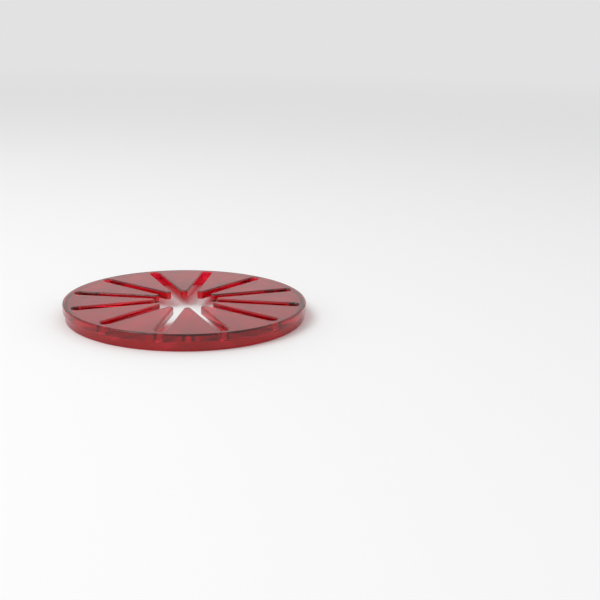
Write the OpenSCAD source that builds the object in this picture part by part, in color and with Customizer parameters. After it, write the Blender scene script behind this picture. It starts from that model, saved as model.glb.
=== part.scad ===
// Whisk wiper disc: a flat round plate on a low skirt, moulded in one piece of clear
// red plastic. The wires of a whisk pass through its radial slots, and the petals
// between the slots strip the wires as the disc is pushed down them.

/* [Disc] */
// Diameter over the lip of the disc
disc_d = 156; // [130:1:200]
// Thickness of the slotted plate
plate_t = 5.2; // [3.6:0.1:7]
// Round on the upper edge of the lip
lip_round = 1.0; // [0.5:0.1:1.5]
// Round on the lower edge of the lip
lip_under_round = 0.5; // [0.3:0.1:0.9]

/* [Skirt] */
// Height of the skirt below the plate
skirt_h = 5.6; // [4.6:0.1:9]
// Step from the lip in to the outer wall of the skirt
skirt_step = 1.4; // [1.1:0.1:2.5]
// Wall thickness of the skirt
skirt_wall = 1.8; // [1.2:0.1:3.2]
// Round on both lower edges of the skirt
foot_round = 0.5; // [0.2:0.1:0.8]
// Fillet between the skirt's inner wall and the plate
root_fillet = 0.4; // [0.2:0.1:1.2]

/* [Slots] */
// Number of wire slots
slot_count = 12; // [8:1:14]
// Width of a slot between its walls
slot_w = 6.8; // [5:0.1:8]
// Flat left under the plate between a slot's lower round and the skirt's fillet
slot_gap = 0.1; // [0.1:0.1:5]
// Round on the upper edge of the slots and petals
mouth_round = 1.0; // [0.5:0.1:1.5]
// Round on the lower edge of the slots and petals
under_round = 0.5; // [0.2:0.1:0.9]
// Radius of a petal's inner tip, seen from above
tip_r = 2.4; // [1.8:0.1:4]

/* [Hidden] */
$fn = 96;
// How far the cutters reach past the faces that they cut
past = 1;
// A round's arc is drawn this much wider than its size, so that it meets each face
// at a slight angle
fuller = 1.15;
// A petal's tip arc meets the petal's sides at this angle
tip_angle = 12;
// The clear bore at the centre stops this far short of the petals' tips
tip_clear = 0.5;
lip_r = disc_d / 2;
skirt_r = lip_r - skirt_step;
skirt_in_r = skirt_r - skirt_wall;
top_z = skirt_h + plate_t;
pitch = 360 / slot_count;
// Wall of a slot's outer end, inside the round and the fillet that lie beyond it
slot_end_r = skirt_in_r - (root_fillet + under_round) * fuller - slot_gap;
// Centre of the half-round outer end of a slot
slot_end_x = slot_end_r - slot_w / 2;
// Distance from the axis to the centre of a petal's round tip
tip_x = (slot_w / 2 + tip_r * cos(tip_angle)) / sin(pitch / 2);
// The round tip turns from one petal side to the other
tip_turn = 180 - pitch;
// Clear bore inside the petals' tips, where the slots begin
centre_r = tip_x - tip_r - tip_clear;
slot_start_x = centre_r - past;

// The corner at (x, y) that points along (sx, sy), outside a round of size r. Taken
// off a solid it leaves the round, and added in an inner corner it is a fillet
module corner(x, y, r, sx, sy) {
    c = r * fuller;
    translate([x, y]) mirror([sx < 0 ? 1 : 0, 0]) mirror([0, sy < 0 ? 1 : 0])
        difference() {
            translate([-c, -c]) square(c + past);
            translate([-c, -c]) circle(norm([c, c - r]));
        }
}

// Section of the plate and its skirt, from the axis to the lip
module disc_section() {
    difference() {
        union() {
            translate([0, skirt_h]) square([lip_r, plate_t]);
            translate([skirt_in_r, 0]) square([skirt_wall, skirt_h + past]);
            corner(skirt_in_r, skirt_h, root_fillet, 1, 1);
        }
        corner(lip_r, top_z, lip_round, 1, 1);
        corner(lip_r, skirt_h, lip_under_round, 1, -1);
        corner(skirt_r, 0, foot_round, 1, -1);
        corner(skirt_in_r, 0, foot_round, -1, -1);
    }
}

// Section of an opening through the plate, from inner_x out to its wall at x = wall_x,
// which spreads at both faces of the plate
module opening_section(inner_x, wall_x) {
    translate([inner_x, skirt_h - past]) square([wall_x - inner_x, plate_t + 2 * past]);
    corner(wall_x, top_z, mouth_round, -1, 1);
    corner(wall_x, skirt_h, under_round, -1, -1);
}

module slot_cutter() {
    translate([slot_start_x, 0, 0]) rotate([90, 0, 90])
        linear_extrude(slot_end_x - slot_start_x) {
            opening_section(-past, slot_w / 2);
            mirror([1, 0]) opening_section(-past, slot_w / 2);
        }
    translate([slot_end_x, 0, 0]) rotate([0, 0, -90])
        rotate_extrude(angle = 180) opening_section(0, slot_w / 2);
}

// Rounds the inner end of a petal
module tip_cutter() {
    translate([tip_x, 0, 0]) rotate([0, 0, 180 - tip_turn / 2])
        rotate_extrude(angle = tip_turn)
            translate([tip_r, 0]) mirror([1, 0]) opening_section(-tip_r, 0);
}

// Every second slot, from slot number first on
module slot_cutters(first) {
    for (i = [first : 2 : slot_count - 1]) rotate([0, 0, i * pitch]) slot_cutter();
}

module wiper_disc() {
    color([0.72, 0.06, 0.12, 0.85])
        difference() {
            difference() {
                difference() {
                    rotate_extrude() disc_section();
                    translate([0, 0, -past]) cylinder(h = top_z + 2 * past, r = centre_r);
                    for (i = [0 : slot_count - 1])
                        rotate([0, 0, (i + 0.5) * pitch]) tip_cutter();
                }
                slot_cutters(0);
            }
            slot_cutters(1);
        }
}

wiper_disc();
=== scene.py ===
import math

import bpy
from mathutils import Matrix, Vector


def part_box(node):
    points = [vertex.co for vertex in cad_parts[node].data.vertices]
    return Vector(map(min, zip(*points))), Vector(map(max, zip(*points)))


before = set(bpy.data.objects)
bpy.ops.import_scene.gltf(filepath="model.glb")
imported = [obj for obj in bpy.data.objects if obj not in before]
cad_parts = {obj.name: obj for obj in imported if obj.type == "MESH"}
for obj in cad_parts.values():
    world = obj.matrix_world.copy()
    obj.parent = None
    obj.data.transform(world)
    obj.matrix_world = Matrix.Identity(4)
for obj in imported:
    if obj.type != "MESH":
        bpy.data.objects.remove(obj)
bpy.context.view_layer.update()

# The wiper disc is one round plate of clear red plastic on a low skirt. It is moulded
# in one shot, with radial slots for the wires of a whisk and petals between them, and
# it comes from a polished mould, so every face is glossy.
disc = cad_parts["wiper_disc"]
disc_low, disc_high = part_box("wiper_disc")
disc_top = disc_high.z

# The dye that the plastic is mixed with, as light that has crossed one face shows it
red_clear = (0.72, 0.012, 0.035, 1.0)
red_deep = (0.6, 0.008, 0.026, 1.0)
# What the body of the plastic takes from light on a long way through it
dye_colour = (0.9, 0.05, 0.1, 1.0)
dye_per_metre = 25.0
plastic_ior = 1.49
# The moulded faces are glossy with a slight haze, which softens what shows through
haze_low = 0.1
haze_high = 0.15
# Lumps along one metre in the swirl of the dye, in the haze and in the sunken faces
swirl_scale = 38.0
haze_scale = 70.0
sink_scale = 45.0
sink_depth = 0.0004
sink_strength = 0.25
# Most of a noise's values lie between these two
noise_low = 0.35
noise_high = 0.65

plastic = bpy.data.materials.new("clear_red_plastic")
plastic.use_nodes = True
tree = plastic.node_tree
tree.nodes.clear()
place = tree.nodes.new("ShaderNodeTexCoord")
shader = tree.nodes.new("ShaderNodeBsdfPrincipled")
output = tree.nodes.new("ShaderNodeOutputMaterial")
shader.inputs["IOR"].default_value = plastic_ior
shader.inputs["Metallic"].default_value = 0.0
shader.inputs["Transmission Weight"].default_value = 1.0
tree.links.new(shader.outputs["BSDF"], output.inputs["Surface"])

absorption = tree.nodes.new("ShaderNodeVolumeAbsorption")
absorption.inputs["Color"].default_value = dye_colour
absorption.inputs["Density"].default_value = dye_per_metre
tree.links.new(absorption.outputs["Volume"], output.inputs["Volume"])


def noise(scale, detail):
    """Noise over the disc, where scale is how many lumps lie along one metre"""
    node = tree.nodes.new("ShaderNodeTexNoise")
    node.inputs["Scale"].default_value = scale
    node.inputs["Detail"].default_value = detail
    tree.links.new(place.outputs["Object"], node.inputs["Vector"])
    return node.outputs["Fac"]


def spread(value, low, high):
    """Maps the middle of a noise's range to low and high"""
    node = tree.nodes.new("ShaderNodeMapRange")
    node.inputs["From Min"].default_value = noise_low
    node.inputs["From Max"].default_value = noise_high
    node.inputs["To Min"].default_value = low
    node.inputs["To Max"].default_value = high
    tree.links.new(value, node.inputs["Value"])
    return node.outputs["Result"]


# The dye isn't quite even: the melt swirls as it fills the mould
swirl = tree.nodes.new("ShaderNodeMix")
swirl.data_type = "RGBA"
swirl.inputs["A"].default_value = red_clear
swirl.inputs["B"].default_value = red_deep
tree.links.new(spread(noise(swirl_scale, 3.0), 0.0, 1.0), swirl.inputs["Factor"])
tree.links.new(swirl.outputs["Result"], shader.inputs["Base Color"])

# The haze is a little uneven
tree.links.new(spread(noise(haze_scale, 4.0), haze_low, haze_high), shader.inputs["Roughness"])

# The faces sink by hundredths of a millimetre as the thick petals cool
sink = tree.nodes.new("ShaderNodeBump")
sink.inputs["Strength"].default_value = sink_strength
sink.inputs["Distance"].default_value = sink_depth
tree.links.new(noise(sink_scale, 1.0), sink.inputs["Height"])
tree.links.new(sink.outputs["Normal"], shader.inputs["Normal"])

disc.data.materials.clear()
disc.data.materials.append(plastic)

# The floor is a plain pale sheet of board that the disc's skirt stands on
floor_half = 6.0
floor_colour = (0.88, 0.88, 0.88, 1.0)
room_level = 0.76
fade_start = 0.8
fade_end = 3.0
floor_mesh = bpy.data.meshes.new("floor")
floor_mesh.from_pydata(
    [(x * floor_half, y * floor_half, disc_low.z) for x, y in ((-1, -1), (1, -1), (1, 1), (-1, 1))],
    [],
    [(0, 1, 2, 3)],
)
floor = bpy.data.objects.new("floor", floor_mesh)
bpy.context.scene.collection.objects.link(floor)
board = bpy.data.materials.new("pale_board")
board.use_nodes = True
board_shader = board.node_tree.nodes["Principled BSDF"]
board_shader.inputs["Base Color"].default_value = floor_colour
board_shader.inputs["Roughness"].default_value = 0.85
# Far from the disc the board takes the level of the room, so that its edge doesn't show
board_nodes = board.node_tree.nodes
board_links = board.node_tree.links
spot = board_nodes.new("ShaderNodeTexCoord")
reach = board_nodes.new("ShaderNodeVectorMath")
reach.operation = "LENGTH"
fade = board_nodes.new("ShaderNodeMapRange")
fade.inputs["From Min"].default_value = fade_start
fade.inputs["From Max"].default_value = fade_end
far_board = board_nodes.new("ShaderNodeEmission")
far_board.inputs["Strength"].default_value = room_level
blend = board_nodes.new("ShaderNodeMixShader")
board_links.new(spot.outputs["Object"], reach.inputs[0])
board_links.new(reach.outputs["Value"], fade.inputs["Value"])
board_links.new(fade.outputs["Result"], blend.inputs[0])
board_links.new(board_shader.outputs["BSDF"], blend.inputs[1])
board_links.new(far_board.outputs["Emission"], blend.inputs[2])
board_links.new(blend.outputs["Shader"], board_nodes["Material Output"].inputs["Surface"])
floor_mesh.materials.append(board)

# Soft studio light: a pale room all round, and one broad lamp above and to the left
world = bpy.data.worlds.new("studio")
world.use_nodes = True
world.node_tree.nodes["Background"].inputs["Color"].default_value = (1.0, 1.0, 1.0, 1.0)
world.node_tree.nodes["Background"].inputs["Strength"].default_value = room_level
bpy.context.scene.world = world


def soft_lamp(name, place, size, power):
    """A square lamp that faces the disc"""
    data = bpy.data.lights.new(name, "AREA")
    data.shape = "SQUARE"
    data.size = size
    data.energy = power
    lamp = bpy.data.objects.new(name, data)
    lamp.location = place
    lamp.rotation_euler = (-Vector(place)).to_track_quat("-Z", "Y").to_euler()
    bpy.context.scene.collection.objects.link(lamp)


soft_lamp("key_lamp", (-0.7, -0.5, 1.3), 0.9, 10.0)

# The camera stands where the photograph was taken from. It looks down at the disc by
# view_down, and the disc's top face lies left of the middle of the picture.
picture = 600
focal_pixels = 1027.0
sensor_mm = 36.0
view_down = math.radians(15.42)
view_turn = math.radians(12.3)
view_roll = math.radians(-0.28)
view_distance = 0.6685
aim_x = 185.7
aim_y = 298.6

aim = Vector((0.0, 0.0, disc_top))
to_camera = Vector((
    math.cos(view_down) * math.sin(view_turn),
    -math.cos(view_down) * math.cos(view_turn),
    math.sin(view_down),
))
right = Vector((math.cos(view_turn), math.sin(view_turn), 0.0))
up = to_camera.cross(right)
level = Matrix((right, up, to_camera)).transposed()
roll = Matrix.Rotation(view_roll, 3, "Z")
aim_ray = Vector((
    (aim_x - picture / 2) / focal_pixels,
    -(aim_y - picture / 2) / focal_pixels,
    -1.0,
)).normalized()
off_middle = Vector((0.0, 0.0, -1.0)).rotation_difference(aim_ray).to_matrix()

camera_data = bpy.data.cameras.new("camera")
camera_data.sensor_width = sensor_mm
camera_data.lens = focal_pixels / picture * sensor_mm
camera_data.clip_start = 0.01
camera = bpy.data.objects.new("camera", camera_data)
turn = level @ roll @ off_middle.transposed()
camera.matrix_world = Matrix.Translation(aim + view_distance * to_camera) @ turn.to_4x4()
bpy.context.scene.collection.objects.link(camera)
bpy.context.scene.camera = camera
bpy.context.scene.view_settings.view_transform = "Standard"
